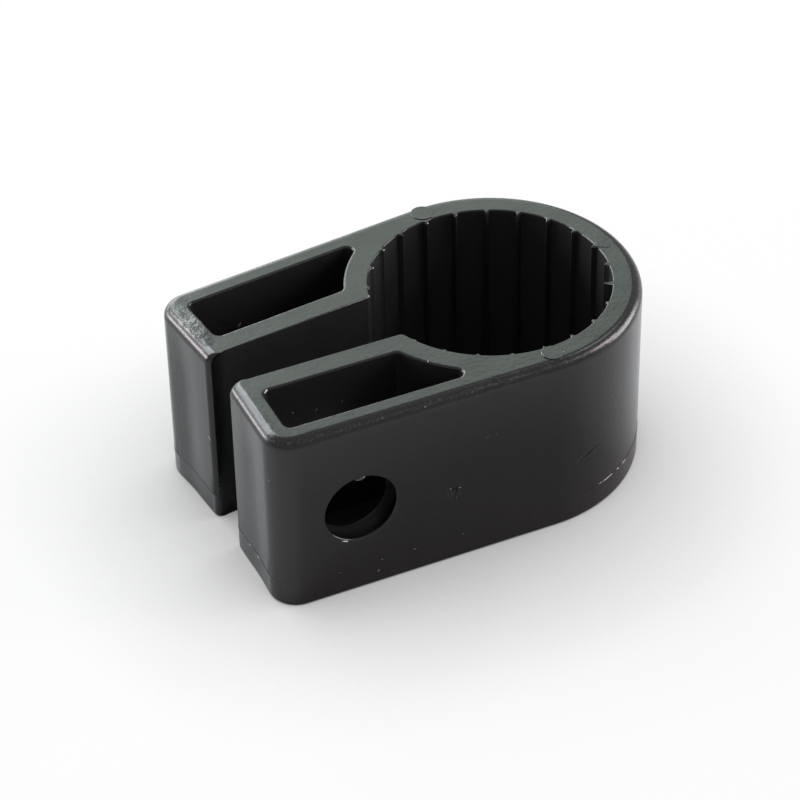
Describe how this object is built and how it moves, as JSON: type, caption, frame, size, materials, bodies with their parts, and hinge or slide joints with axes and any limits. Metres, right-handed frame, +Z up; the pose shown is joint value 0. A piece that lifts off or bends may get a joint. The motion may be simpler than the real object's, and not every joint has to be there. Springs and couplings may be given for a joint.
{
  "type": "cable clamp",
  "caption": "Black moulded plastic cable clamp: an open ring with a finely ribbed bore, whose hollow legs a cross screw draws together round the cable.",
  "frame": {"origin": "on the cable's axis, at the height of the base", "axes": "+Z up along the cable's axis, the legs point to -X, and the fixing hole runs along Y"},
  "size_m": [0.0392, 0.026, 0.0176],
  "materials": {
    "black_polypropylene": "satin, moulded"
  },
  "bodies": {
    "root": {"clamp_body": "black_polypropylene"}
  },
  "joints": []
}
